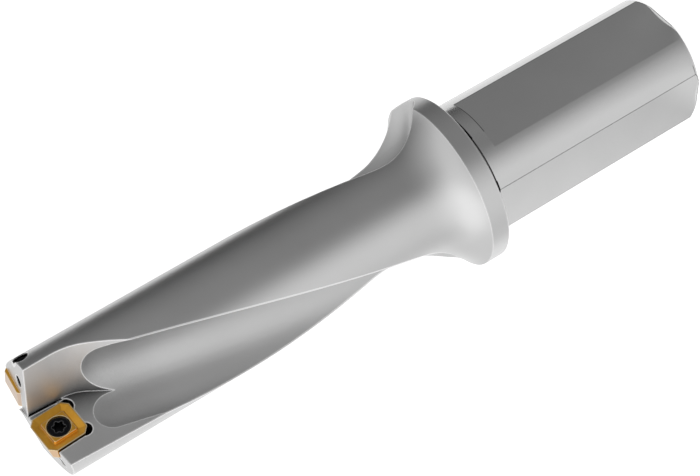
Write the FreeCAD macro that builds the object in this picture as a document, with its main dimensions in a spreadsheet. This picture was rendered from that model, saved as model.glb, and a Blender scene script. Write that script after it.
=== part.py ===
import FreeCAD, Part, Sketcher
import math
import os
from FreeCAD import Placement, Rotation, Vector

# Indexable drill with a flanged cylindrical shank and two square inserts.
# It stands on its shank: z = 0 is the rear end face, +Z points to the cutting tip and the Z axis is
# the axis of rotation. Azimuths count from +X, counter-clockwise as seen from the tip.

os.makedirs("parts", exist_ok=True)
doc = FreeCAD.newDocument("indexable_drill")
sheet = doc.addObject("Spreadsheet::Sheet", "Sizes")

SIZES = {
    # shank
    "shank_diameter": 32.0, "shank_length": 60.0, "shank_chamfer": 1.4,
    "undercut_width": 2.2, "undercut_depth": 0.4,
    "flat_a_azimuth": 34.0, "flat_a_depth": 2.0, "flat_a_stop": 5.6,
    "flat_c_azimuth": -56.0, "flat_c_depth": 1.85,
    # coolant inlet in the rear end
    "inlet_diameter": 11.8, "inlet_depth": 46.0, "inlet_chamfer": 0.8,
    # flange and flare
    "flange_diameter": 41.2, "rim_width": 4.6, "rim_edge": 0.25, "flare_radius": 14.7, "flare_length": 12.4,
    # fluted body: tip_height is the cutting edge of the outer land, each drop counts down from it and
    # each rise counts up from the front of the flange
    "body_diameter": 27.6, "tip_height": 170.2, "front_stock": 2.3, "flute_lead": 319.0, "flute_radius": 9.0,
    "flute_azimuth": 6.0655, "flute_end_drop": 16.8, "web_1_tip": 0.8, "web_2_tip": 3.4, "web_tip_drop": 13.2,
    "web_1_flange": 3.9, "runout_1_rise": 21.7, "runout_1_turn": 58.0,
    "web_2_flange": 6.2, "runout_2_rise": 14.7, "runout_2_turn": 86.0, "flute_2_turn": 181.1, "runout_radius": 9.9,
    # chip gullets beside the inserts: a flat seat face and a leaning wall
    "seat_azimuth": 31.05, "seat_1_rake": 4.73, "seat_1_drop": 8.3, "seat_2_rake": 2.0, "seat_2_drop": 10.8,
    "wall_1_out": -1.75, "wall_2_out": 3.9, "wall_lean": 10.6, "wall_1_foot": -0.15, "wall_2_foot": 1.3,
    "gullet_radius": 10.8, "gullet_turn": 30.8, "foot_groove_width": 0.5, "foot_groove_depth": 0.45,
    # front faces of the two lands
    "land_p_fall": 3.6, "land_p_relief": 12.6, "land_c_drop": 0.2, "land_c_fall": 8.0, "land_c_relief": 2.6,
    # inserts
    "insert_side": 9.6, "insert_thickness": 4.3, "insert_corner": 1.35, "insert_relief": 11.0,
    "edge_land": 0.3, "breaker_depth": 0.5, "breaker_inner_side": 6.3, "island_side": 5.5,
    "insert_bore": 4.1, "insert_sink": 5.2, "insert_sink_depth": 1.5,
    "insert_1_out": 4.3, "insert_1_up": 3.9, "insert_1_turn": 5.3,
    "insert_2_out": 9.0, "insert_2_up": 5.9, "insert_2_turn": 3.0, "insert_proud": 0.25,
    # insert pockets
    "seat_gap": 0.03, "pocket_outer_gap": 0.45, "corner_relief_in": 1.9, "corner_relief_out": 1.65,
    "relief_in_x": 3.4, "relief_in_y": 3.75, "relief_out_x": 3.8, "relief_out_y": 3.95,
    # insert screws
    "screw_head": 4.9, "screw_recess": 0.2, "screw_diameter": 3.4, "screw_length": 8.4,
    "socket_core": 1.15, "socket_lobe": 0.36, "socket_depth": 1.4, "thread_gap": 0.04, "screw_hole_1_depth": 9.8,
    "screw_seat_gap": 0.03,
    # coolant channels
    "channel_diameter": 2.6, "channel_p_out": 5.85, "channel_p_in": 7.3, "channel_c_radius": 10.3,
    "channel_c_azimuth": -98.8, "channel_top_drop": 13.2, "channel_start_radius": 3.6,
}
for row, (name, number) in enumerate(SIZES.items(), start=1):
    sheet.set("A%d" % row, name)
    sheet.set("B%d" % row, repr(number))
    sheet.setAlias("B%d" % row, name)
doc.recompute()


class Size:
    """A number that also carries its spreadsheet expression, so one formula feeds both."""

    def __init__(self, value, text):
        self.value, self.text = value, text

    def join(self, other, sign, result):
        return Size(result, "(%s %s %s)" % (self.text, sign, as_size(other).text))

    def __add__(self, other):
        return self.join(other, "+", self.value + as_size(other).value)

    def __sub__(self, other):
        return self.join(other, "-", self.value - as_size(other).value)

    def __mul__(self, other):
        return self.join(other, "*", self.value * as_size(other).value)

    def __truediv__(self, other):
        return self.join(other, "/", self.value / as_size(other).value)

    def __neg__(self):
        return Size(-self.value, "(0 - %s)" % self.text)


def as_size(number):
    return number if isinstance(number, Size) else Size(float(number), "%r" % float(number))


def size(name):
    return Size(float(sheet.get(name)), "Sizes.%s" % name)


def sine(angle):
    return Size(math.sin(math.radians(angle.value)), "sin(%s)" % angle.text)


def cosine(angle):
    return Size(math.cos(math.radians(angle.value)), "cos(%s)" % angle.text)


def tangent(angle):
    return Size(math.tan(math.radians(angle.value)), "tan(%s)" % angle.text)


def origin_feature(body, role):
    return next(item for item in body.Origin.OriginFeatures if item.Role == role)


def attach(item, support, base=(0, 0, 0), axis=(0, 0, 1), angle=0.0):
    """Lay a sketch or plane on a support, moved by base and turned by angle about axis."""
    base = [as_size(number) for number in base]
    angle = as_size(angle)
    item.AttachmentSupport = [(support, "")]
    item.MapMode = "FlatFace"
    item.AttachmentOffset = Placement(Vector(*[number.value for number in base]),
                                      Rotation(Vector(*axis), angle.value or 1e-9))
    for letter, number in zip("xyz", base):
        item.setExpression("AttachmentOffset.Base." + letter, number.text)
    if angle.value:
        item.setExpression("AttachmentOffset.Rotation.Angle", angle.text)
    return item


def pin_point(sketch, geometry, vertex, point):
    """Hold one vertex of a sketch at its two coordinates."""
    for kind, number in zip(("DistanceX", "DistanceY"), point):
        number = as_size(number)
        index = sketch.addConstraint(Sketcher.Constraint(kind, -1, 1, geometry, vertex, number.value))
        sketch.setExpression("Constraints[%d]" % index, number.text)


def outline(sketch, points, arcs=None):
    """Closed outline through the points; arcs maps a side's number to (radius, centre)."""
    arcs = arcs or {}
    places = [Vector(as_size(x).value, as_size(y).value, 0) for x, y in points]
    first = sketch.GeometryCount
    for number, start in enumerate(places):
        end = places[(number + 1) % len(places)]
        if number in arcs:
            radius, centre = arcs[number]
            middle = Vector(as_size(centre[0]).value, as_size(centre[1]).value, 0)
            half = ((start + end) / 2 - middle).normalize() * as_size(radius).value + middle
            sketch.addGeometry(Part.Arc(start, half, end), False)
        else:
            sketch.addGeometry(Part.LineSegment(start, end), False)
    # an arc that runs clockwise has its start and end vertices the other way round
    heads = [1 if sketch.getPoint(first + number, 1).distanceToPoint(start) < 1e-6 else 2
             for number, start in enumerate(places)]
    for number in range(len(places)):
        here, after = first + number, (number + 1) % len(places)
        sketch.addConstraint(Sketcher.Constraint("Coincident", here, 3 - heads[number],
                                                 first + after, heads[after]))
        pin_point(sketch, here, heads[number], points[number])
        if number in arcs:
            index = sketch.addConstraint(Sketcher.Constraint("Radius", here, as_size(arcs[number][0]).value))
            sketch.setExpression("Constraints[%d]" % index, as_size(arcs[number][0]).text)
    return sketch


def circle(sketch, centre, radius):
    centre = [as_size(number) for number in centre]
    radius = as_size(radius)
    index = sketch.addGeometry(Part.Circle(Vector(centre[0].value, centre[1].value, 0), Vector(0, 0, 1),
                                           radius.value), False)
    pin_point(sketch, index, 3, centre)
    rule = sketch.addConstraint(Sketcher.Constraint("Radius", index, radius.value))
    sketch.setExpression("Constraints[%d]" % rule, radius.text)
    return sketch


def rectangle(sketch, left, right, low, high):
    return outline(sketch, [(left, low), (right, low), (right, high), (left, high)])


def cut_down(body, name, sketch, length, upward=False, taper=None, along=None):
    """Pocket that must remove metal: its volume is compared with the solid before it."""
    doc.recompute()
    before = body.Shape.Volume
    pocket = body.newObject("PartDesign::Pocket", name)
    pocket.Profile = sketch
    pocket.Reversed = upward
    if along is not None:
        pocket.UseCustomVector = True
        pocket.Direction = Vector(*along)
    pocket.setExpression("Length", as_size(length).text)
    if taper is not None:
        pocket.TaperAngle = as_size(taper).value
        pocket.setExpression("TaperAngle", as_size(taper).text)
    doc.recompute()
    if not body.Shape.Volume < before - 1e-3:
        raise RuntimeError("%s removes nothing" % name)
    return pocket


# Turned blank: shank, undercut, flange, flare and body in one profile
blank = doc.addObject("PartDesign::Body", "blank")
shank_r, body_r, flange_r = size("shank_diameter") / 2, size("body_diameter") / 2, size("flange_diameter") / 2
inlet_r, edge = size("inlet_diameter") / 2, size("rim_edge")
chamfer = size("shank_chamfer")
rim_front = size("shank_length") + size("rim_width")
tip = size("tip_height")
blank_top = tip + size("front_stock")
neck_start = size("shank_length") - size("undercut_width")
profile = attach(blank.newObject("Sketcher::SketchObject", "blank_profile"), origin_feature(blank, "XZ_Plane"))
outline(profile, [
    (inlet_r + size("inlet_chamfer"), 0),
    (shank_r - chamfer, 0),
    (shank_r, chamfer),
    (shank_r, neck_start),
    (shank_r - size("undercut_depth"), neck_start),
    (shank_r - size("undercut_depth"), size("shank_length")),
    (flange_r - edge, size("shank_length")),
    (flange_r, size("shank_length") + edge),
    (flange_r, rim_front),
    (body_r, rim_front + size("flare_length")),
    (body_r, blank_top),
    (0, blank_top),
    (0, size("inlet_depth") + inlet_r * 0.6),
    (inlet_r, size("inlet_depth")),
    (inlet_r, size("inlet_chamfer")),
], {1: (chamfer * 3, (shank_r - chamfer * 2.5616, chamfer * 2.5616)),
    8: (size("flare_radius"), (body_r + size("flare_radius"), rim_front + size("flare_length")))})
turned = blank.newObject("PartDesign::Revolution", "turned_blank")
turned.Profile = profile
turned.ReferenceAxis = (profile, ["V_Axis"])
turned.Angle = 360
doc.recompute()

# Two clamping flats at right angles on the shank
for letter, length in (("a", size("shank_length") - size("flat_a_stop")), ("c", size("shank_length"))):
    sketch = attach(blank.newObject("Sketcher::SketchObject", "flat_%s_sketch" % letter),
                    origin_feature(blank, "XY_Plane"), angle=size("flat_%s_azimuth" % letter))
    rectangle(sketch, shank_r - size("flat_%s_depth" % letter), shank_r * 1.3, -shank_r, shank_r)
    cut_down(blank, "flat_" + letter, sketch, length, upward=True)

# Planes of the two seat faces. Local x runs from the central cut towards the other flute, local y
# runs up to the tip and local z stands out of the face.
planes = {}
for number, turn in ((1, 0.0), (2, 180.0)):
    azimuth = attach(blank.newObject("PartDesign::Plane", "azimuth_%d" % number), origin_feature(blank, "XY_Plane"),
                     angle=size("seat_azimuth") + 90.0 + turn)
    planes["azimuth_%d" % number] = azimuth
    planes["seat_%d" % number] = attach(blank.newObject("PartDesign::Plane", "seat_%d" % number), azimuth,
                                        base=(0, 0, tip - size("seat_%d_drop" % number)), axis=(1, 0, 0),
                                        angle=size("seat_%d_rake" % number) + 90.0)

# Gullets: everything above the seat face and outside the leaning wall is milled away
far = body_r * 1.6
for number in (1, 2):
    wall, wall_length = -size("wall_%d_out" % number), size("wall_%d_foot" % number)
    turn, radius = size("gullet_turn"), size("gullet_radius")
    bend_x, bend_y = wall - radius * (as_size(1) - cosine(turn)), -wall_length - radius * sine(turn)
    sketch = attach(blank.newObject("Sketcher::SketchObject", "gullet_%d_sketch" % number), planes["seat_%d" % number])
    outline(sketch, [
        (wall, body_r), (wall, -wall_length), (bend_x, bend_y),
        (-far, bend_y - (bend_x + far) / tangent(turn)), (-far, body_r),
    ], {1: (radius, (wall - radius, -wall_length))})
    cut_down(blank, "gullet_%d" % number, sketch, body_r * 1.5, upward=True, taper=size("wall_lean"))
# a narrow groove clears the foot of the central wall and leaves a ridge beside the insert
sketch = attach(blank.newObject("Sketcher::SketchObject", "foot_groove_sketch"), planes["seat_1"])
foot = -size("wall_1_out")
rectangle(sketch, foot - size("foot_groove_width"), foot, -size("wall_1_foot"), body_r)
cut_down(blank, "foot_groove", sketch, size("foot_groove_depth"))

# Front faces of the lands, each falling away from its cutting edge
land_p = attach(blank.newObject("PartDesign::Plane", "land_p_plane"), planes["azimuth_1"],
                base=(0, 0, tip), axis=(0, 1, 0), angle=size("land_p_fall"))
sketch = attach(blank.newObject("Sketcher::SketchObject", "land_p_sketch"), land_p, axis=(1, 0, 0),
                angle=size("land_p_relief"))
rectangle(sketch, 0, far, -far, 0)
cut_down(blank, "land_p_face", sketch, 12.0, along=(0, 0, 1))
land_c = attach(blank.newObject("PartDesign::Plane", "land_c_plane"), planes["azimuth_1"],
                base=(0, 0, tip - size("land_c_drop")), axis=(0, 1, 0), angle=-size("land_c_fall"))
sketch = attach(blank.newObject("Sketcher::SketchObject", "land_c_sketch"), land_c, axis=(1, 0, 0),
                angle=-size("land_c_relief"))
outline(sketch, [(-far, -far), (0, -far), (0, 0), (far, 0), (far, far), (-far, far)])
cut_down(blank, "land_c_face", sketch, 12.0, along=(0, 0, 1))

# Insert pockets with tapered walls, corner reliefs and tapped screw holes
half = size("insert_side") / 2
floor_depth = size("insert_thickness") - size("insert_proud")
for number in (1, 2):
    place = dict(base=(-size("insert_%d_out" % number), size("insert_%d_up" % number), 0),
                 angle=size("insert_%d_turn" % number))
    sketch = attach(blank.newObject("Sketcher::SketchObject", "pocket_%d_sketch" % number),
                    planes["seat_%d" % number], **place)
    lean = size("insert_proud") * tangent(size("insert_relief"))
    wall = half - lean + size("seat_gap") / cosine(size("insert_relief"))
    # the outer pocket breaks out through the side of the body
    outer = half - lean + size("pocket_outer_gap") if number == 1 else half * 3
    rectangle(sketch, -outer, wall, -wall, half * 3)
    cut_down(blank, "pocket_%d" % number, sketch, floor_depth, taper=-size("insert_relief"))
    sketch = attach(blank.newObject("Sketcher::SketchObject", "corner_relief_%d_sketch" % number),
                    planes["seat_%d" % number], **place)
    circle(sketch, (size("relief_in_x"), -size("relief_in_y")), size("corner_relief_in"))
    if number == 1:
        circle(sketch, (-size("relief_out_x"), -size("relief_out_y")), size("corner_relief_out"))
    cut_down(blank, "corner_relief_%d" % number, sketch, floor_depth)
    sketch = attach(blank.newObject("Sketcher::SketchObject", "screw_hole_%d_sketch" % number),
                    planes["seat_%d" % number], **place)
    circle(sketch, (0, 0), size("screw_diameter") / 2 + size("thread_gap"))
    cut_down(blank, "screw_hole_%d" % number, sketch, size("screw_hole_1_depth") if number == 1 else body_r * 1.5)
doc.recompute()


def path_edge(points):
    curve = Part.BSplineCurve()
    curve.interpolate(points)
    return curve.toShape()


def polar(radius, azimuth, height):
    turn = math.radians(azimuth)
    return Vector(radius * math.cos(turn), radius * math.sin(turn), height)


def value(name):
    return size(name).value


def tube(wire, radius, ball=False):
    """Round tube along a wire whose edges are tangent to each other, with a ball end at its start."""
    edges = wire.OrderedEdges
    start = edges[0].valueAt(edges[0].FirstParameter)
    along = edges[0].tangentAt(edges[0].FirstParameter)
    ring = Part.Wire([Part.makeCircle(radius, start, along)])
    pipe = Part.BRepOffsetAPI.MakePipeShell(wire)
    pipe.setFrenetMode(False)
    pipe.add(ring, False, False)
    pipe.build()
    if not ball:
        pipe.makeSolid()
        return pipe.shape()
    cap = Part.makeSphere(radius, start, -along, 0, 90, 360)
    dome = next(face for face in cap.Faces if isinstance(face.Surface, Part.Sphere))
    end = wire.OrderedEdges[-1]
    tail = Part.Wire([Part.makeCircle(radius, end.valueAt(end.LastParameter), end.tangentAt(end.LastParameter))])
    shell = Part.makeShell(pipe.shape().Faces + [dome, Part.Face(tail)])
    shell.sewShape()
    return Part.makeSolid(shell)


def flute_azimuth(height):
    return value("flute_azimuth") + 360.0 / value("flute_lead") * (height - tip.value)


# Flute cutters: a tube on a slightly conical helix, so the web thickens towards the flange, then an
# arc and a straight run outwards through the flare and the rim
def flute_cutter(name, number, turn):
    radius = value("flute_radius")
    low, high = rim_front.value + value("runout_%d_rise" % number), tip.value - value("flute_end_drop")
    web_tip, web_flange = value("web_%d_tip" % number), value("web_%d_flange" % number)
    web_top = tip.value - value("web_tip_drop")

    def centre(height):
        return web_flange + (web_tip - web_flange) * (height - low) / (web_top - low) + radius

    heights = [high + (low - high) * step / 12.0 for step in range(13)]
    helix = path_edge([polar(centre(height), flute_azimuth(height) + turn, height) for height in heights])
    start = helix.valueAt(helix.LastParameter)
    along = helix.tangentAt(helix.LastParameter)
    outward = Vector(start.x, start.y, 0).normalize()
    outward = (outward - along * outward.dot(along)).normalize()
    bend, angle = value("runout_radius"), math.radians(value("runout_%d_turn" % number))

    def on_arc(part):
        return start + along * (bend * math.sin(part * angle)) + outward * (bend * (1 - math.cos(part * angle)))

    arc = Part.Arc(start, on_arc(0.5), on_arc(1.0)).toShape()
    leaving = along * math.cos(angle) + outward * math.sin(angle)
    run = Part.LineSegment(on_arc(1.0), on_arc(1.0) + leaving * value("flange_diameter")).toShape()
    cutter = doc.addObject("Part::Feature", name)
    cutter.Shape = tube(Part.Wire([helix, arc, run]), radius, ball=True)
    return cutter


# Coolant channels: from the inlet bore outwards, then along the middle of each land
def channel_cutter(name, radius, azimuth_at_top):
    start = value("inlet_depth") - 1.0
    flare = rim_front.value + 4.0
    straight = tip.value - value("channel_top_drop")
    heights = [flare + (straight - flare) * step / 10.0 for step in range(11)]
    rate = 360.0 / value("flute_lead")

    def point(height, at_radius):
        return polar(at_radius, azimuth_at_top + rate * (height - straight), height)

    lower = [point(start, value("channel_start_radius")),
             point((start + flare) / 2, (value("channel_start_radius") + radius) / 2)]
    points = lower + [point(height, radius) for height in heights]
    points.append(polar(radius, azimuth_at_top, blank_top.value))
    cutter = doc.addObject("Part::Feature", name)
    cutter.Shape = tube(Part.Wire([path_edge(points)]), value("channel_diameter") / 2)
    return cutter


seat_turn = math.radians(value("seat_azimuth"))
across = Vector(-math.sin(seat_turn), math.cos(seat_turn), 0)
outlet = across * value("channel_p_out") + Vector(math.cos(seat_turn), math.sin(seat_turn), 0) * value("channel_p_in")
outlet_radius = outlet.Length
outlet_azimuth = math.degrees(math.atan2(outlet.y, outlet.x))
cutters = [
    flute_cutter("flute_cutter_1", 1, 0.0),
    flute_cutter("flute_cutter_2", 2, value("flute_2_turn")),
    channel_cutter("channel_cutter_p", outlet_radius, outlet_azimuth),
    channel_cutter("channel_cutter_c", value("channel_c_radius"), value("channel_c_azimuth")),
]
base = blank
for number, cutter in enumerate(cutters):
    cut = doc.addObject("Part::Cut", "body_cut_%d" % number)
    cut.Base, cut.Tool = base, cutter
    base = cut
doc.recompute()
drill_body = base
drill_body.Label = "drill_body"


# Square insert: rake face at z = 0, seat face below, moulded chip breaker and countersunk bore
def square(sketch, side, corner):
    reach, cut = as_size(side) / 2, as_size(corner)
    near = reach - cut
    return outline(sketch, [(-near, -reach), (near, -reach), (reach, -near), (reach, near),
                            (near, reach), (-near, reach), (-reach, near), (-reach, -near)])


def make_insert(label):
    body = doc.addObject("PartDesign::Body", label)
    body.Label = label
    flat = origin_feature(body, "XY_Plane")
    sketch = square(attach(body.newObject("Sketcher::SketchObject", label + "_outline"), flat),
                    size("insert_side"), size("insert_corner"))
    pad = body.newObject("PartDesign::Pad", label + "_plate")
    pad.Profile, pad.Reversed = sketch, True
    pad.setExpression("Length", "Sizes.insert_thickness")
    pad.setExpression("TaperAngle", "0 - Sizes.insert_relief")
    doc.recompute()
    # the breaker is sunk between the edge land and the island
    top = square(attach(body.newObject("Sketcher::SketchObject", label + "_breaker_top"), flat),
                 size("insert_side") - size("edge_land") * 2, size("insert_corner") * 0.93)
    low = square(attach(body.newObject("Sketcher::SketchObject", label + "_breaker_low"), flat,
                        base=(0, 0, -size("breaker_depth"))),
                 size("breaker_inner_side"), size("insert_corner") * 0.3)
    before = body.Shape.Volume
    hollow = body.newObject("PartDesign::SubtractiveLoft", label + "_breaker")
    hollow.Profile, hollow.Sections, hollow.Ruled = top, [low], True
    doc.recompute()
    assert body.Shape.Volume < before, "the chip breaker removes nothing"
    foot = square(attach(body.newObject("Sketcher::SketchObject", label + "_island_foot"), flat,
                         base=(0, 0, -size("breaker_depth") * 1.4)),
                  size("island_side") + size("breaker_depth") * 1.2, size("insert_corner") * 0.2)
    crown = square(attach(body.newObject("Sketcher::SketchObject", label + "_island_top"), flat),
                   size("island_side"), size("insert_corner") * 0.2)
    island = body.newObject("PartDesign::AdditiveLoft", label + "_island")
    island.Profile, island.Sections, island.Ruled = foot, [crown], True
    doc.recompute()
    sketch = attach(body.newObject("Sketcher::SketchObject", label + "_bore_profile"),
                    origin_feature(body, "XZ_Plane"))
    sink, bore = size("insert_sink") / 2, size("insert_bore") / 2
    outline(sketch, [(0, 0.5), (sink, 0.5), (sink, -size("screw_recess")), (bore, -size("insert_sink_depth")),
                     (bore, -size("insert_thickness") * 1.2), (0, -size("insert_thickness") * 1.2)])
    before = body.Shape.Volume
    groove = body.newObject("PartDesign::Groove", label + "_bore")
    groove.Profile, groove.ReferenceAxis, groove.Angle = sketch, (sketch, ["V_Axis"]), 360
    doc.recompute()
    assert body.Shape.Volume < before, "the insert bore removes nothing"
    return body


# Countersunk screw: its cone stands on the cone of the insert, with a six-lobed socket
def make_screw(label):
    body = doc.addObject("PartDesign::Body", label)
    body.Label = label
    sketch = attach(body.newObject("Sketcher::SketchObject", label + "_profile"), origin_feature(body, "XZ_Plane"))
    head, shank = size("screw_head") / 2, size("screw_diameter") / 2
    top = -size("screw_recess")
    slope = (size("insert_sink_depth") - size("screw_recess")) / (size("insert_sink") / 2 - size("insert_bore") / 2)
    # the cone runs parallel to the insert's cone, seat gap inside it, down to the shank
    rim = top - slope * (size("insert_sink") / 2 - head) + slope * size("screw_seat_gap")
    neck = rim - slope * (head - shank)
    outline(sketch, [(0, top), (head - 0.15, top), (head, top - 0.12), (head, rim), (shank, neck),
                     (shank, -size("screw_length")), (shank - 0.4, -size("screw_length") - 0.4),
                     (0, -size("screw_length") - 0.4)])
    turned = body.newObject("PartDesign::Revolution", label + "_turned")
    turned.Profile, turned.ReferenceAxis, turned.Angle = sketch, (sketch, ["V_Axis"]), 360
    doc.recompute()
    flat = origin_feature(body, "XY_Plane")
    sketch = circle(attach(body.newObject("Sketcher::SketchObject", label + "_socket_core"), flat,
                           base=(0, 0, top)), (0, 0), size("socket_core"))
    cut_down(body, label + "_socket", sketch, size("socket_depth"))
    sketch = circle(attach(body.newObject("Sketcher::SketchObject", label + "_socket_lobe"), flat,
                           base=(0, 0, top)), (size("socket_core"), 0), size("socket_lobe"))
    lobe = cut_down(body, label + "_lobe", sketch, size("socket_depth"))
    lobes = body.newObject("PartDesign::PolarPattern", label + "_lobes")
    lobes.Originals = [lobe]
    lobes.Axis = (origin_feature(body, "Z_Axis"), [""])
    lobes.Angle, lobes.Occurrences = 360, 6
    body.Tip = lobes
    doc.recompute()
    return body


def seat_placement(number):
    """Frame of an insert: centre of its rake face, just proud of the seat face."""
    turn = Rotation(Vector(0, 0, 1), value("seat_azimuth") + 90.0 + 180.0 * (number - 1))
    tilt = Rotation(Vector(1, 0, 0), 90.0 + value("seat_%d_rake" % number))
    face = Placement(Vector(0, 0, tip.value - value("seat_%d_drop" % number)), turn.multiply(tilt))
    centre = Vector(-value("insert_%d_out" % number), value("insert_%d_up" % number), value("insert_proud"))
    return face.multiply(Placement(centre, Rotation(Vector(0, 0, 1), value("insert_%d_turn" % number))))


nodes = [drill_body]
for number, word in ((1, "central"), (2, "peripheral")):
    for maker, kind in ((make_insert, "insert"), (make_screw, "screw")):
        piece = maker("%s_%s" % (word, kind))
        piece.Placement = seat_placement(number)
        nodes.append(piece)
doc.recompute()

# Every object has to be sound before a file is written
for item in doc.Objects:
    if "Invalid" in item.State or "Error" in item.State:
        raise RuntimeError("%s: %s" % (item.Name, item.State))
for piece in nodes:
    shape = piece.Shape
    if shape.isNull() or not shape.isValid() or len(shape.Solids) != 1:
        raise RuntimeError("%s is not one valid solid" % piece.Label)
    print("%s volume %.1f mm3, box %s" % (piece.Label, shape.Volume, shape.BoundBox))
    shape.exportStep("parts/%s.step" % piece.Label)
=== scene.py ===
# %% [markdown]
# # Indexable drill
#
# A drill for metal with replaceable square inserts. It stands on its cylindrical shank, and the
# camera is rolled so that it crosses the picture from corner to corner. This lesson takes the solids
# as they are and gives each its finish: satin steel, a gold-coloured hard coating and black screws.
# A metal shows its surroundings more than its own colour, so half of the work is the studio round it.

import bpy
import numpy as np
from mathutils import Matrix, Vector

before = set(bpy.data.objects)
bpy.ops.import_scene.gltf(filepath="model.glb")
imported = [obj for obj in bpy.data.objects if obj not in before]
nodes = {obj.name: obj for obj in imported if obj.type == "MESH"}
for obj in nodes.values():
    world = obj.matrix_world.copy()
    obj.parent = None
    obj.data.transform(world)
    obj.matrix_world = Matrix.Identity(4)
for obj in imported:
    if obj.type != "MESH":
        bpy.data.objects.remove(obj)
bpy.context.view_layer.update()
print("solids:", ", ".join(sorted(nodes)))

# %% [markdown]
# ## The camera
#
# A photograph of a long tool is taken with a long lens from not too far away. The place, the aim and
# the roll come from the outline of the shank, the flange and the body, which are all round about one
# axis. Three numbers place the camera, two aim it and one rolls it.

# %% Camera
CAMERA_PLACE = Vector((0.361062, 0.0, 0.197995))
CAMERA_AIM = Vector((0.0, 0.0000039, 0.089153))
CAMERA_ROLL = -120.208
FOCAL_PIXELS = 1682.48
PHOTO_WIDTH = 700

camera_data = bpy.data.cameras.new("camera")
camera_data.sensor_fit = "HORIZONTAL"
camera_data.sensor_width = 36.0
camera_data.lens = FOCAL_PIXELS / PHOTO_WIDTH * camera_data.sensor_width
camera_data.clip_start = 0.01
camera = bpy.data.objects.new("camera", camera_data)
bpy.context.collection.objects.link(camera)
aim = (CAMERA_AIM - CAMERA_PLACE).to_track_quat("-Z", "Y").to_matrix().to_4x4()
roll = Matrix.Rotation(np.radians(CAMERA_ROLL), 4, "Z")
camera.matrix_world = Matrix.Translation(CAMERA_PLACE) @ aim @ roll
bpy.context.scene.camera = camera
print("lens %.1f mm" % camera_data.lens)

# %% [markdown]
# ## Colours and nodes
#
# Colours are written as they look on a screen, as hex values, and Blender wants linear light.
# One function does that, and another adds a shader node with its settings and links. The scale of a
# pattern is given as how many of its marks lie on a millimetre.


# %% Colour and node helpers
PER_MM = 1000.0


def colour(code):
    """Linear RGBA of an sRGB hex value: the low end is divided by 12.92, the rest is a 2.4 power."""
    parts = np.array([int(code[k:k + 2], 16) for k in (1, 3, 5)]) / 255.0
    linear = np.where(parts <= 0.04045, parts / 12.92, ((parts + 0.055) / 1.055) ** 2.4)
    return (*linear.tolist(), 1.0)


def add_node(tree, kind, settings=None, **inputs):
    """Add a node. settings are its properties; inputs are values or sockets, named or by number."""
    item = tree.nodes.new(kind)
    for name, setting in (settings or {}).items():
        setattr(item, name, setting)
    for name, given in inputs.items():
        key = int(name[1:]) if name[0] == "i" and name[1:].isdigit() else name.replace("_", " ")
        socket = item.inputs[key]
        if isinstance(given, bpy.types.NodeSocket):
            tree.links.new(given, socket)
        else:
            socket.default_value = given
    return item


def new_material(name):
    """Make a material with an empty node tree, and give both."""
    material = bpy.data.materials.new(name)
    material.use_nodes = True
    material.node_tree.nodes.clear()
    return material, material.node_tree


def dress(node_name, material):
    """Put a finish on every slot of a solid."""
    piece = nodes[node_name]
    if not piece.material_slots:
        piece.data.materials.append(material)
    for slot in piece.material_slots:
        slot.material = material


# %% [markdown]
# ## Satin steel
#
# The drill is hardened tool steel with the even grey of thin nickel plating. The shank is ground, so
# it mirrors sharply, with fine lines that run round it. The body is blasted, so it is matt, and the
# walls of the flutes and gullets keep the marks of the milling cutter. These could be three
# materials, but they are one piece of steel with one mesh, so one material does all three, and the
# place on the piece says which is which.

# %% Where the steel is ground, blasted or milled
SHANK_END = 0.060
SHANK_BLEND = 0.0002
BODY_RADIUS = 0.0138
# how deep inside the round of the body a milled wall begins to count, and where it counts in full
WALL_BEGINS = 0.0001
WALL_IS_FULL = 0.0003

steel, tree = new_material("nickel_plated_tool_steel")
place = add_node(tree, "ShaderNodeTexCoord").outputs["Object"]
axes = add_node(tree, "ShaderNodeSeparateXYZ", Vector=place)
shape = add_node(tree, "ShaderNodeNewGeometry").outputs["Normal"]
facing = add_node(tree, "ShaderNodeSeparateXYZ", Vector=shape)
level_place = add_node(tree, "ShaderNodeVectorMath", {"operation": "MULTIPLY"}, i0=place, i1=(1.0, 1.0, 0.0))
axis_gap = add_node(tree, "ShaderNodeVectorMath", {"operation": "LENGTH"}, i0=level_place.outputs[0])
radius = axis_gap.outputs["Value"]
# 0 on the ground shank, 1 on everything in front of it
front = add_node(tree, "ShaderNodeMapRange", Value=axes.outputs["Z"], From_Min=SHANK_END - SHANK_BLEND,
                 From_Max=SHANK_END).outputs[0]
# 1 on the milled walls, which lie inside the round of the body and don't face the tip
inside = add_node(tree, "ShaderNodeMapRange", Value=radius, From_Min=BODY_RADIUS - WALL_BEGINS,
                  From_Max=BODY_RADIUS - WALL_IS_FULL)
sideways = add_node(tree, "ShaderNodeMapRange", Value=facing.outputs["Z"], From_Min=0.75, From_Max=0.65)
inner_side = add_node(tree, "ShaderNodeMath", {"operation": "MULTIPLY"}, i0=inside.outputs[0],
                      i1=sideways.outputs[0])
milled = add_node(tree, "ShaderNodeMath", {"operation": "MULTIPLY"}, i0=inner_side.outputs[0],
                  i1=front).outputs[0]
print("ground up to %.1f mm, milled inside a radius of %.1f mm" % (1e3 * SHANK_END, 1e3 * BODY_RADIUS))

# %% Steel tone and roughness
CLOUD_SCALE = 0.09 * PER_MM
GROUND_ROUGHNESS = 0.20
MILLED_ROUGHNESS = 0.45
CLOUD_ROUGHNESS = 0.05

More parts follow.
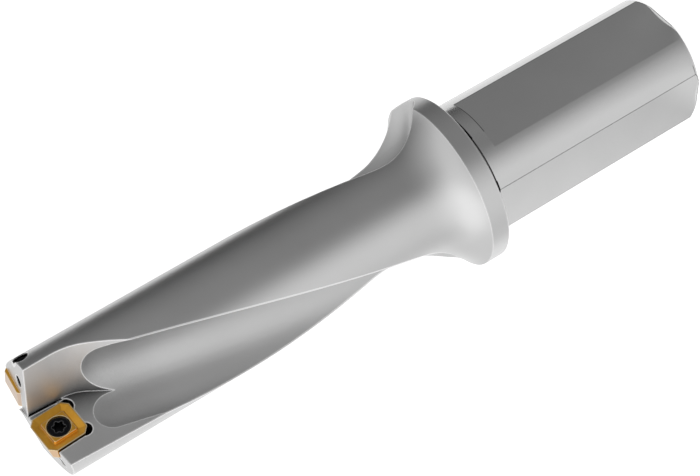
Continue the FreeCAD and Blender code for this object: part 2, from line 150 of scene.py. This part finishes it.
cloud = add_node(tree, "ShaderNodeTexNoise", Vector=place, Scale=CLOUD_SCALE, Detail=3.0).outputs["Fac"]
blasted_tone = add_node(tree, "ShaderNodeMix", {"data_type": "RGBA"}, i0=cloud, i6=colour("#c1c1c1"),
                        i7=colour("#c9c9c9"))
milled_tone = add_node(tree, "ShaderNodeMix", {"data_type": "RGBA"}, i0=cloud, i6=colour("#c3c3c3"),
                       i7=colour("#cbcbcb"))
metal_tone = add_node(tree, "ShaderNodeMix", {"data_type": "RGBA"}, i0=milled, i6=blasted_tone.outputs[2],
                      i7=milled_tone.outputs[2])
# 0 on the ground shank, 1 on the blasted body and 2 on the milled walls
finish_step = add_node(tree, "ShaderNodeMath", {"operation": "ADD"}, i0=front, i1=milled)
base_rough = add_node(tree, "ShaderNodeMapRange", Value=finish_step.outputs[0], From_Max=2.0,
                      To_Min=GROUND_ROUGHNESS, To_Max=MILLED_ROUGHNESS)
rough = add_node(tree, "ShaderNodeMath", {"operation": "MULTIPLY_ADD"}, i0=cloud, i1=CLOUD_ROUGHNESS,
                 i2=base_rough.outputs[0])
print("clouds %.0f mm wide, roughness from %.2f" % (1e3 / CLOUD_SCALE, GROUND_ROUGHNESS),
      "to %.2f" % (MILLED_ROUGHNESS + CLOUD_ROUGHNESS))

# %% [markdown]
# Three reliefs are too fine to model: lines a ninth of a millimetre apart round the ground shank, the
# blasted grain, and the feed marks of the cutter, half a millimetre apart across the milled walls.
# The grain is drawn a fifth of a millimetre wide, about a pixel of the photograph, because a finer
# one would not show.

# %% Steel relief
LINE_SCALE = (0.06 * PER_MM, 0.06 * PER_MM, 9.0 * PER_MM)
GRAIN_SCALE = 5.2 * PER_MM
FEED_SCALE = 0.64 * PER_MM
# the wave node makes this many bands where a noise makes one mark
WAVE_BANDS = 20.0 / (2.0 * np.pi)
FEED_SHARE = 0.7

rings = add_node(tree, "ShaderNodeMapping", Vector=place, Scale=LINE_SCALE)
lines = add_node(tree, "ShaderNodeTexNoise", Vector=rings.outputs["Vector"], Scale=1.0, Detail=2.0)
grain = add_node(tree, "ShaderNodeTexNoise", Vector=place, Scale=GRAIN_SCALE, Detail=2.0)
feed = add_node(tree, "ShaderNodeTexWave", {"bands_direction": "Z"}, Vector=place, Scale=FEED_SCALE,
                Distortion=1.5, Detail=1.0, Detail_Scale=0.3)
even_relief = add_node(tree, "ShaderNodeMix", {"data_type": "FLOAT"}, i0=front, i2=lines.outputs["Fac"],
                       i3=grain.outputs["Fac"])
feed_depth = add_node(tree, "ShaderNodeMath", {"operation": "MULTIPLY"}, i0=milled, i1=FEED_SHARE)
relief = add_node(tree, "ShaderNodeMath", {"operation": "MULTIPLY_ADD"}, i0=feed.outputs["Fac"],
                  i1=feed_depth.outputs[0], i2=even_relief.outputs[0])
print("lines %.2f mm, grain %.2f mm" % (1e3 / LINE_SCALE[2], 1e3 / GRAIN_SCALE),
      "and feed marks %.2f mm apart" % (1e3 / FEED_SCALE / WAVE_BANDS))

# %% [markdown]
# A solid arrives as triangles with a direction stored at each corner, and at the seam of a turned
# face those are up to 3 degrees off to either side. Polished metal can show that as a line. So the
# true direction is worked out from the axis: straight away from it on a cylinder, and towards the
# centre of its arc on the flare. It is only used on those surfaces, and only where the triangle
# already looks nearly that way.

# %% True direction of the turned surfaces
FLANGE_FRONT = 0.0646
FLANGE_RADIUS = 0.0206
FLARE_TOP = 0.0770
FLARE_RADIUS = 0.0147

outward = add_node(tree, "ShaderNodeVectorMath", {"operation": "NORMALIZE"}, i0=level_place.outputs[0])
across = add_node(tree, "ShaderNodeMath", {"operation": "SUBTRACT"}, i0=BODY_RADIUS + FLARE_RADIUS, i1=radius)
along = add_node(tree, "ShaderNodeMath", {"operation": "SUBTRACT"}, i0=FLARE_TOP, i1=axes.outputs["Z"])
level_share = add_node(tree, "ShaderNodeCombineXYZ", X=across.outputs[0], Y=across.outputs[0])
upright_share = add_node(tree, "ShaderNodeCombineXYZ", Z=along.outputs[0])
to_centre = add_node(tree, "ShaderNodeVectorMath", {"operation": "MULTIPLY_ADD"}, i0=outward.outputs[0],
                     i1=level_share.outputs[0], i2=upright_share.outputs[0])
flare_way = add_node(tree, "ShaderNodeVectorMath", {"operation": "NORMALIZE"}, i0=to_centre.outputs[0])

# %% Where the surface is turned
ARC_REACH = 0.00015
BODY_REACH = 0.0001
RIM_REACH = 0.00015

centre_gap = add_node(tree, "ShaderNodeVectorMath", {"operation": "LENGTH"}, i0=to_centre.outputs[0])
on_arc = add_node(tree, "ShaderNodeMath", {"operation": "COMPARE"}, i0=centre_gap.outputs["Value"],
                  i1=FLARE_RADIUS, i2=ARC_REACH)
at_flare = add_node(tree, "ShaderNodeMath", {"operation": "COMPARE"}, i0=axes.outputs["Z"],
                    i1=(FLANGE_FRONT + FLARE_TOP) / 2, i2=(FLARE_TOP - FLANGE_FRONT) / 2)
on_flare = add_node(tree, "ShaderNodeMath", {"operation": "MULTIPLY"}, i0=on_arc.outputs[0],
                    i1=at_flare.outputs[0])
on_body = add_node(tree, "ShaderNodeMath", {"operation": "COMPARE"}, i0=radius, i1=BODY_RADIUS, i2=BODY_REACH)
on_rim = add_node(tree, "ShaderNodeMath", {"operation": "COMPARE"}, i0=radius, i1=FLANGE_RADIUS, i2=RIM_REACH)
on_round = add_node(tree, "ShaderNodeMath", {"operation": "MAXIMUM"}, i0=on_body.outputs[0],
                    i1=on_rim.outputs[0])
turned = add_node(tree, "ShaderNodeMath", {"operation": "MAXIMUM"}, i0=on_flare.outputs[0],
                  i1=on_round.outputs[0])
print("a turned surface is found to %.2f mm" % (1e3 * ARC_REACH))

# %% Turn the surface to its true direction
NEARLY_ALIKE = 0.98
SOFT_EDGE_RADIUS = 0.00018
RELIEF_DEPTH = 0.00002

true_way = add_node(tree, "ShaderNodeMix", {"data_type": "VECTOR"}, i0=on_flare.outputs[0],
                    i4=outward.outputs[0], i5=flare_way.outputs[0])
likeness = add_node(tree, "ShaderNodeVectorMath", {"operation": "DOT_PRODUCT"}, i0=true_way.outputs[1],
                    i1=shape)
same_way = add_node(tree, "ShaderNodeMath", {"operation": "GREATER_THAN"}, i0=likeness.outputs["Value"],
                    i1=NEARLY_ALIKE)
share = add_node(tree, "ShaderNodeMath", {"operation": "MULTIPLY"}, i0=turned.outputs[0],
                 i1=same_way.outputs[0])
way_error = add_node(tree, "ShaderNodeVectorMath", {"operation": "SUBTRACT"}, i0=true_way.outputs[1],
                     i1=shape)
mend = add_node(tree, "ShaderNodeVectorMath", {"operation": "SCALE"}, i0=way_error.outputs[0],
                i3=share.outputs[0])
soft_edge = add_node(tree, "ShaderNodeBevel", {"samples": 8}, Radius=SOFT_EDGE_RADIUS).outputs["Normal"]
mended = add_node(tree, "ShaderNodeVectorMath", {"operation": "ADD"}, i0=soft_edge, i1=mend.outputs[0])
smooth = add_node(tree, "ShaderNodeVectorMath", {"operation": "NORMALIZE"}, i0=mended.outputs[0])
bump = add_node(tree, "ShaderNodeBump", Strength=0.12, Distance=RELIEF_DEPTH, Height=relief.outputs[0],
                Normal=smooth.outputs[0])
print("used where it is within %.0f degrees of the triangle's" % np.degrees(np.arccos(NEARLY_ALIKE)))

# %% [markdown]
# In front of the shank the outer edges are bare, and they and the shallow ridges where two cuts meet
# get a painted highlight: a light colour. The flats of the shank end in a thin line of painted shade
# instead. Holes and deep corners get painted shade, nearly black, and the milled walls get painted
# shade towards their inner corners. All this could be painted on a map by hand, but then a changed
# edge would need a new map. Here the shader finds it: an outer edge is where the steel just under the
# surface is thin, and a corner is where little light gets in.

# %% Painted shade in the holes and corners
HOLE_SHADE_REACH = 0.004

# the node's AO is 1 in the open and falls towards 0 deep in a hole, where the colour is painted nearly black
# as shade
hollow = add_node(tree, "ShaderNodeAmbientOcclusion", {"samples": 8, "only_local": True}, Distance=HOLE_SHADE_REACH)
painted_hole_shade = add_node(tree, "ShaderNodeMapRange", Value=hollow.outputs["AO"], From_Min=0.58, From_Max=0.34)
print("oil is looked for within %.0f mm" % (1e3 * HOLE_SHADE_REACH))

# %% Bare edges with a painted highlight
THIN_DEPTH = 0.0004
WIDE_EDGE_RADIUS = 0.00032

thin = add_node(tree, "ShaderNodeAmbientOcclusion", {"samples": 8, "inside": True, "only_local": True},
                Distance=THIN_DEPTH)
edge = add_node(tree, "ShaderNodeMapRange", Value=thin.outputs["AO"], From_Min=0.93, From_Max=0.70)
filed_edge_highlight = add_node(tree, "ShaderNodeMath", {"operation": "MULTIPLY"}, i0=edge.outputs[0], i1=front)
# a wider bevel finds the edges by how far it turns the surface
wide_edge = add_node(tree, "ShaderNodeBevel", {"samples": 8}, Radius=WIDE_EDGE_RADIUS).outputs["Normal"]
bend = add_node(tree, "ShaderNodeVectorMath", {"operation": "DOT_PRODUCT"}, i0=wide_edge, i1=shape)
crease = add_node(tree, "ShaderNodeMapRange", Value=bend.outputs["Value"], From_Min=0.998, From_Max=0.985)
ridge = add_node(tree, "ShaderNodeMapRange", Value=bend.outputs["Value"], From_Min=0.9975, From_Max=0.986)
# the hollow bends between two walls are no ridges, so they are kept out by how deep they lie
clean = add_node(tree, "ShaderNodeMapRange", Value=hollow.outputs["AO"], From_Min=0.52, From_Max=0.62)
open_wall = add_node(tree, "ShaderNodeMath", {"operation": "MULTIPLY"}, i0=clean.outputs[0], i1=milled)
ridge_highlight = add_node(tree, "ShaderNodeMath", {"operation": "MULTIPLY"}, i0=ridge.outputs[0],
                      i1=open_wall.outputs[0])
# the bare outer edges and the ridges are painted light: a painted highlight
bare_edge_highlight = add_node(tree, "ShaderNodeMath", {"operation": "MAXIMUM"}, i0=filed_edge_highlight.outputs[0],
                i1=ridge_highlight.outputs[0])
print("ridges are looked for within %.2f mm" % (1e3 * WIDE_EDGE_RADIUS))

# %% Painted shade lines beside the flats
NO_LINE_SLOPE = 0.36

# the photograph shows no line on the edge of the upper flat that faces the camera, so there is none
# where the size of Y is under this share of X
side_of = add_node(tree, "ShaderNodeMath", {"operation": "ABSOLUTE"}, i0=axes.outputs["Y"])
beside = add_node(tree, "ShaderNodeMath", {"operation": "MULTIPLY_ADD"}, i0=axes.outputs["X"],
                  i1=-NO_LINE_SLOPE, i2=side_of.outputs[0])
lined = add_node(tree, "ShaderNodeMath", {"operation": "GREATER_THAN"}, i0=beside.outputs[0], i1=0.0)
behind = add_node(tree, "ShaderNodeMath", {"operation": "SUBTRACT"}, i0=lined.outputs[0], i1=front)
# the dark line along the edges of the flats is painted shade
line = add_node(tree, "ShaderNodeMath", {"operation": "MULTIPLY", "use_clamp": True}, i0=crease.outputs[0],
                i1=behind.outputs[0])
print("no dark line within %.0f degrees of the camera's side" % np.degrees(np.arctan(NO_LINE_SLOPE)))

# %% Shade on the milled walls
SHADE_REACH = 0.011
SHADE_GROWS_FROM = 0.140
SHADE_FULL_FROM = 0.154

# this shade is put into the finish itself, and is deepest on the walls round the pockets
deep = add_node(tree, "ShaderNodeAmbientOcclusion", {"samples": 8, "only_local": True}, Distance=SHADE_REACH)
corner = add_node(tree, "ShaderNodeMapRange", Value=deep.outputs["AO"], From_Min=0.97, From_Max=0.50)
at_pocket = add_node(tree, "ShaderNodeMapRange", Value=axes.outputs["Z"], From_Min=SHADE_GROWS_FROM,
                     From_Max=SHADE_FULL_FROM, To_Min=0.15, To_Max=0.95)
corner_shade = add_node(tree, "ShaderNodeMath", {"operation": "MULTIPLY"}, i0=corner.outputs[0],
                        i1=at_pocket.outputs[0])
dusk = add_node(tree, "ShaderNodeMath", {"operation": "MULTIPLY"}, i0=corner_shade.outputs[0], i1=milled)
print("shade grows from %.0f to %.0f mm up the tool" % (1e3 * SHADE_GROWS_FROM, 1e3 * SHADE_FULL_FROM))

# %% Put the steel together
shaded = add_node(tree, "ShaderNodeMix", {"data_type": "RGBA"}, i0=dusk.outputs[0], i6=metal_tone.outputs[2],
                  i7=colour("#303030"))
# holes and deep corners are painted nearly black: painted shade
hole_shaded = add_node(tree, "ShaderNodeMix", {"data_type": "RGBA"}, i0=painted_hole_shade.outputs[0], i6=shaded.outputs[2],
                 i7=colour("#121212"))
# the edges of the flats are painted dark: painted shade
ruled = add_node(tree, "ShaderNodeMix", {"data_type": "RGBA"}, i0=line.outputs[0], i6=hole_shaded.outputs[2],
                 i7=colour("#202020"))
tone = add_node(tree, "ShaderNodeMix", {"data_type": "RGBA"}, i0=bare_edge_highlight.outputs[0], i6=ruled.outputs[2],
                i7=colour("#f4f4f4"))
# a bare edge is painted a light colour as a highlight. It is only a few tenths of a millimetre wide
# and may mirror something dark, so most of it scatters light as paint does
mirror_share = add_node(tree, "ShaderNodeMapRange", Value=bare_edge_highlight.outputs[0], To_Min=1.0, To_Max=0.35)
skin = add_node(tree, "ShaderNodeBsdfPrincipled", Base_Color=tone.outputs[2],
                Metallic=mirror_share.outputs[0], Roughness=rough.outputs[0], Normal=bump.outputs["Normal"])
add_node(tree, "ShaderNodeOutputMaterial", Surface=skin.outputs[0])
dress("drill_body", steel)
print("steel has", len(tree.nodes), "nodes")

# %% [markdown]
# ## Coated carbide
#
# The inserts are pressed and sintered carbide with a gold-coloured nitride coating a few
# micrometres thick. It follows the pressed surface, so it is matt. The flanks that face the tip look
# paler in the photograph, and they are painted paler as a painted reflection of the light above them.
# The honed edges get a painted highlight. The flanks could have a material of their own, but the
# direction of a face already tells them apart, so one material serves both inserts.

# %% Insert colours
PATCH_SCALE = 0.45 * PER_MM
SPECK_SCALE = 6.5 * PER_MM
HONED_HIGHLIGHT_DEPTH = 0.0003

coating, tree = new_material("nitride_coated_carbide")
place = add_node(tree, "ShaderNodeTexCoord").outputs["Object"]
patches = add_node(tree, "ShaderNodeTexNoise", Vector=place, Scale=PATCH_SCALE, Detail=4.0,
                   Roughness=0.6).outputs["Fac"]
speck = add_node(tree, "ShaderNodeTexNoise", Vector=place, Scale=SPECK_SCALE, Detail=2.0)
gold = add_node(tree, "ShaderNodeMix", {"data_type": "RGBA"}, i0=patches, i6=colour("#e39c2c"),
                i7=colour("#f5be52"))
shape = add_node(tree, "ShaderNodeNewGeometry").outputs["Normal"]
facing = add_node(tree, "ShaderNodeSeparateXYZ", Vector=shape)
flank = add_node(tree, "ShaderNodeMapRange", Value=facing.outputs["Z"], From_Min=0.55, From_Max=0.7)
# flanks that face upward are painted paler: painted reflection
pale_flank_reflection = add_node(tree, "ShaderNodeMix", {"data_type": "RGBA"}, i0=flank.outputs[0], i6=gold.outputs[2],
                  i7=colour("#c9b4a2"))
thin = add_node(tree, "ShaderNodeAmbientOcclusion", {"samples": 8, "inside": True, "only_local": True},
                Distance=HONED_HIGHLIGHT_DEPTH)
honed_edge_highlight = add_node(tree, "ShaderNodeMapRange", Value=thin.outputs["AO"], From_Min=0.9, From_Max=0.65)
# the honed edges are painted light: painted highlight
tone = add_node(tree, "ShaderNodeMix", {"data_type": "RGBA"}, i0=honed_edge_highlight.outputs[0], i6=pale_flank_reflection.outputs[2],
                i7=colour("#f8dfae"))
print("patches %.1f mm wide, specks %.2f mm" % (1e3 / PATCH_SCALE, 1e3 / SPECK_SCALE))

# %% Insert surface
INSERT_EDGE_RADIUS = 0.00012
SPECK_DEPTH = 0.00002

matt = add_node(tree, "ShaderNodeMapRange", Value=patches, To_Min=0.26, To_Max=0.36)
soft_edge = add_node(tree, "ShaderNodeBevel", {"samples": 8}, Radius=INSERT_EDGE_RADIUS)
bump = add_node(tree, "ShaderNodeBump", Strength=0.15, Distance=SPECK_DEPTH, Height=speck.outputs["Fac"],
                Normal=soft_edge.outputs["Normal"])
skin = add_node(tree, "ShaderNodeBsdfPrincipled", Base_Color=tone.outputs[2], Metallic=1.0,
                Roughness=matt.outputs[0], Normal=bump.outputs["Normal"])
add_node(tree, "ShaderNodeOutputMaterial", Surface=skin.outputs[0])
dress("central_insert", coating)
dress("peripheral_insert", coating)
print("coating has", len(tree.nodes), "nodes")

# %% [markdown]
# ## Blackened screws
#
# The screws are heat-treated steel blackened in a hot salt bath. The black layer is thin, and the
# edges of the socket and the rim are made a lighter grey. The shader finds those edges as it does on
# the inserts, so the lighter edges are on both screws without a map of its own.

# %% Screw finish
SMUDGE_SCALE = 0.9 * PER_MM
LIGHT_EDGE_DEPTH = 0.0003
SCREW_EDGE_RADIUS = 0.00008

black, tree = new_material("black_oxide_steel")
place = add_node(tree, "ShaderNodeTexCoord").outputs["Object"]
smudge = add_node(tree, "ShaderNodeTexNoise", Vector=place, Scale=SMUDGE_SCALE, Detail=3.0).outputs["Fac"]
ink = add_node(tree, "ShaderNodeMix", {"data_type": "RGBA"}, i0=smudge, i6=colour("#0e0e10"),
               i7=colour("#222225"))
thin = add_node(tree, "ShaderNodeAmbientOcclusion", {"samples": 8, "inside": True, "only_local": True},
                Distance=LIGHT_EDGE_DEPTH)
light_edge = add_node(tree, "ShaderNodeMapRange", Value=thin.outputs["AO"], From_Min=0.88, From_Max=0.55)
# the edges of the socket and the rim are made a lighter grey
tone = add_node(tree, "ShaderNodeMix", {"data_type": "RGBA"}, i0=light_edge.outputs[0], i6=ink.outputs[2],
                i7=colour("#707072"))
rough = add_node(tree, "ShaderNodeMapRange", Value=smudge, To_Min=0.28, To_Max=0.42)
soft_edge = add_node(tree, "ShaderNodeBevel", {"samples": 8}, Radius=SCREW_EDGE_RADIUS)
skin = add_node(tree, "ShaderNodeBsdfPrincipled", Base_Color=tone.outputs[2], Metallic=0.9,
                Roughness=rough.outputs[0], Normal=soft_edge.outputs["Normal"])
add_node(tree, "ShaderNodeOutputMaterial", Surface=skin.outputs[0])
dress("central_screw", black)
dress("peripheral_screw", black)
print("black has", len(tree.nodes), "nodes, smudges %.1f mm wide" % (1e3 / SMUDGE_SCALE))

# %% [markdown]
# ## The studio
#
# The tool stands on a pale floor in a pale room. One broad lamp shines down on it from the side of
# negative Y, which is the bottom of the picture. Polished metal in a white room has no shape, so
# graded cards and strips of light round the tool give it something to mirror.


# %% Grid meshes
def grid_mesh(name, points, columns):
    """Mesh of a grid of points given row after row, with one quad between each four neighbours."""
    points = np.asarray(points, float).reshape(-1, 3)
    rows = len(points) // columns
    first = (np.arange(rows - 1)[:, None] * columns + np.arange(columns - 1)[None, :]).ravel()
    faces = np.stack([first, first + 1, first + columns + 1, first + columns], axis=1)
    mesh = bpy.data.meshes.new(name)
    mesh.from_pydata(points.tolist(), [], faces.tolist())
    item = bpy.data.objects.new(name, mesh)
    bpy.context.collection.objects.link(item)
    return item


# %% Rays that see the white room
def camera_share(tree):
    """1 for rays from the camera and for mirror and glass rays, which see the white background."""
    light_path = add_node(tree, "ShaderNodeLightPath")
    first = add_node(tree, "ShaderNodeMath", {"operation": "MAXIMUM"}, i0=light_path.outputs["Is Camera Ray"],
                     i1=light_path.outputs["Is Glossy Ray"])
    return add_node(tree, "ShaderNodeMath", {"operation": "MAXIMUM"}, i0=first.outputs[0],
                    i1=light_path.outputs["Is Transmission Ray"]).outputs[0]


# %% Floor
FLOOR_REACH = 6.0
FLOOR_GLOW = 0.7

ends = (-FLOOR_REACH, FLOOR_REACH)
floor = grid_mesh("floor", [(x, y, 0.0) for y in ends for x in ends], 2)
paper, tree = new_material("white_paper")
matt = add_node(tree, "ShaderNodeBsdfDiffuse", Color=colour("#e8e8e8"))
glow = add_node(tree, "ShaderNodeEmission", Color=colour("#ffffff"), Strength=FLOOR_GLOW)
lit = add_node(tree, "ShaderNodeAddShader", i0=matt.outputs[0], i1=glow.outputs[0])
seen = add_node(tree, "ShaderNodeMixShader", i0=camera_share(tree), i1=matt.outputs[0], i2=lit.outputs[0])
add_node(tree, "ShaderNodeOutputMaterial", Surface=seen.outputs[0])
floor.data.materials.append(paper)
print("floor reaches %.0f m each way" % FLOOR_REACH)

# %% [markdown]
# The room itself is the world: white where the camera, a mirror or a glass looks at it, and a soft
# grey light for everything else.

# %% World
ROOM_LIGHT = 0.55

world = bpy.data.worlds.new("room")
bpy.context.scene.world = world
world.use_nodes = True
tree = world.node_tree
tree.nodes.clear()
strength = add_node(tree, "ShaderNodeMapRange", Value=camera_share(tree), To_Min=ROOM_LIGHT, To_Max=1.0)
backdrop = add_node(tree, "ShaderNodeBackground", Color=colour("#ffffff"),
                    Strength=strength.outputs["Result"])
add_node(tree, "ShaderNodeOutputWorld", Surface=backdrop.outputs[0])
print("room light", ROOM_LIGHT)

# %% [markdown]
# Metal is lit by what it mirrors. A curved card stands in front of the tool, from the lower right of
# the picture round to its upper left. The right end of it is half as high, so that most of the
# lamp's light passes over it, and a flat card lies on the floor inside both. They fade from nearly
# white on the lower right to dark grey on the upper left, so a round bar fades across its width. The
# camera looks through them, and behind the tool the metal mirrors the white room.


# %% Paint of the graded cards
# azimuth in degrees from the X axis, which is the camera's side, and the colour there
SHADES = [(-114.0, "#f4f4f4"), (-104.0, "#e3e3e3"), (-84.0, "#dadada"), (-60.0, "#ececec"),
          (-30.0, "#f0f0f0"), (-10.0, "#cfcfcf"), (5.0, "#9c9c9c"), (20.0, "#898989"), (50.0, "#8f8f8f"),
          (70.0, "#858585"), (90.0, "#777777"), (105.0, "#595959"), (120.0, "#3f3f3f"), (134.0, "#3f3f3f")]
CARD_START = SHADES[0][0]
CARD_END = SHADES[-1][0]
CARD_HEIGHT = 0.5
CARD_GLOW = 1.2
LIFT_FROM = 0.1
LIFT_GLOW = 0.65


def turn_share(azimuth):
    """Place of an azimuth on the radial gradient, which runs from 0 at -180 degrees to 1 at 180."""
    return azimuth / 360.0 + 0.5


card_paint, tree = new_material("graded_card")
place = add_node(tree, "ShaderNodeTexCoord").outputs["Object"]
turn = add_node(tree, "ShaderNodeTexGradient", {"gradient_type": "RADIAL"}, Vector=place)
card_tone = add_node(tree, "ShaderNodeValToRGB", Fac=turn.outputs["Fac"])
ramp = card_tone.color_ramp.elements
ramp[0].position = turn_share(CARD_START)
ramp[0].color = colour(SHADES[0][1])
ramp[1].position = turn_share(CARD_END)
ramp[1].color = colour(SHADES[-1][1])
for card_azimuth, code in SHADES[1:-1]:
    ramp.new(turn_share(card_azimuth)).color = colour(code)
turned_part = add_node(tree, "ShaderNodeEmission", Color=card_tone.outputs["Color"], Strength=CARD_GLOW)
# higher up the card is lighter all round, as if a ceiling lit its upper part
up = add_node(tree, "ShaderNodeSeparateXYZ", Vector=place).outputs["Z"]
lift = add_node(tree, "ShaderNodeMapRange", Value=up, From_Min=LIFT_FROM, From_Max=CARD_HEIGHT,
                To_Max=LIFT_GLOW)
upper_part = add_node(tree, "ShaderNodeEmission", Color=colour("#ffffff"), Strength=lift.outputs["Result"])
both_parts = add_node(tree, "ShaderNodeAddShader", i0=turned_part.outputs[0], i1=upper_part.outputs[0])
add_node(tree, "ShaderNodeOutputMaterial", Surface=both_parts.outputs[0])
print("cards from %.0f to %.0f degrees, with %d shades" % (CARD_START, CARD_END, len(ramp)))


# %% Graded cards
CARD_STEPS = 49
CARD_RADIUS = 0.3
CARD_LOW_FROM = -60.0
TABLE_START = 0.0145
SHEET_HEIGHT = 0.0004


def card_round(name, profile, start, end):
    """Card carried round the tool: point (a, p) is the profile's (radius, height) at the azimuth a."""
    azimuths = np.radians(np.linspace(start, end, CARD_STEPS))
    radii, heights = np.array(profile, float).T
    points = np.stack([np.cos(azimuths)[:, None] * radii, np.sin(azimuths)[:, None] * radii,
                       np.ones_like(azimuths)[:, None] * heights], axis=-1)
    item = grid_mesh(name, points, len(profile))
    item.visible_camera = False
    return item


wall = card_round("wall_card", [(CARD_RADIUS, 0.0), (CARD_RADIUS, CARD_HEIGHT)], CARD_LOW_FROM, CARD_END)
low_wall = card_round("low_wall_card", [(CARD_RADIUS, 0.0), (CARD_RADIUS, CARD_HEIGHT / 2)], CARD_START,
                      CARD_LOW_FROM)
table = card_round("table_card", [(TABLE_START, SHEET_HEIGHT), (CARD_RADIUS, SHEET_HEIGHT)], CARD_START,
                   CARD_END)
for card in (wall, low_wall, table):
    card.data.materials.append(card_paint)
    print(card.name, "has", len(card.data.polygons), "quads")

# %% Strips of light
STRIP_GLOW = 1.15
STRIP_START = 136.0
STRIP_END = 184.0
STRIP_REACH = 0.7
NEAR_HEIGHT = 0.0008
NEAR_REACH = 0.2
# a point on the edge of the upper flat, and the level direction in which the flat would run on
FLAT_EDGE = np.array([0.0073, 0.0143, NEAR_HEIGHT])
FLAT_LINE = np.array([-0.515, 0.857, 0.0])
NEAR_INNER_CORNER = (-0.0106, 0.0099, NEAR_HEIGHT)
NEAR_OUTER_CORNER = (-0.146, 0.136, NEAR_HEIGHT)

strip_paint, tree = new_material("light_strip")
strip_glow = add_node(tree, "ShaderNodeEmission", Color=colour("#ffffff"), Strength=STRIP_GLOW)
add_node(tree, "ShaderNodeOutputMaterial", Surface=strip_glow.outputs[0])
# a strip on the floor behind the tool draws a thin bright line along its upper left outline
strip = card_round("rim_strip", [(TABLE_START, SHEET_HEIGHT), (STRIP_REACH, SHEET_HEIGHT)], STRIP_START,
                   STRIP_END)
# a second one starts at the edge of the upper flat, so that the line runs on to the foot of the shank
near_strip = grid_mesh("near_rim_strip", [FLAT_EDGE, NEAR_INNER_CORNER, FLAT_EDGE + NEAR_REACH * FLAT_LINE,
                                          NEAR_OUTER_CORNER], 2)
near_strip.visible_camera = False
for card in (strip, near_strip):
    card.data.materials.append(strip_paint)
# what lies on the floor doesn't light it or cast a shadow, so that it shows in the metal alone
for card in (table, strip, near_strip):
    card.visible_diffuse = False
    card.visible_shadow = False
print("strips of light:", strip.name, "and", near_strip.name)

# %% Lamp
LAMP_AZIMUTH = np.radians(-75.0)
LAMP_ELEVATION = np.radians(50.0)
LAMP_DISTANCE = 0.9
LAMP_SIDE = 0.8
LAMP_POWER = 1.0
TOOL_MIDDLE = Vector((0.0, 0.0, 0.085))

lamp_way = Vector((np.cos(LAMP_AZIMUTH) * np.cos(LAMP_ELEVATION),
                   np.sin(LAMP_AZIMUTH) * np.cos(LAMP_ELEVATION), np.sin(LAMP_ELEVATION)))
lamp_data = bpy.data.lights.new("soft_box_right", "AREA")
lamp_data.shape = "RECTANGLE"
lamp_data.size = LAMP_SIDE
lamp_data.size_y = LAMP_SIDE
lamp_data.energy = LAMP_POWER
lamp = bpy.data.objects.new("soft_box_right", lamp_data)
bpy.context.collection.objects.link(lamp)
lamp.location = TOOL_MIDDLE + lamp_way * LAMP_DISTANCE
lamp.rotation_euler = (-lamp_way).to_track_quat("-Z", "Y").to_euler()
print("lamp at", [round(v, 3) for v in lamp.location])

# %% Finish
bpy.context.scene.view_settings.view_transform = "Standard"
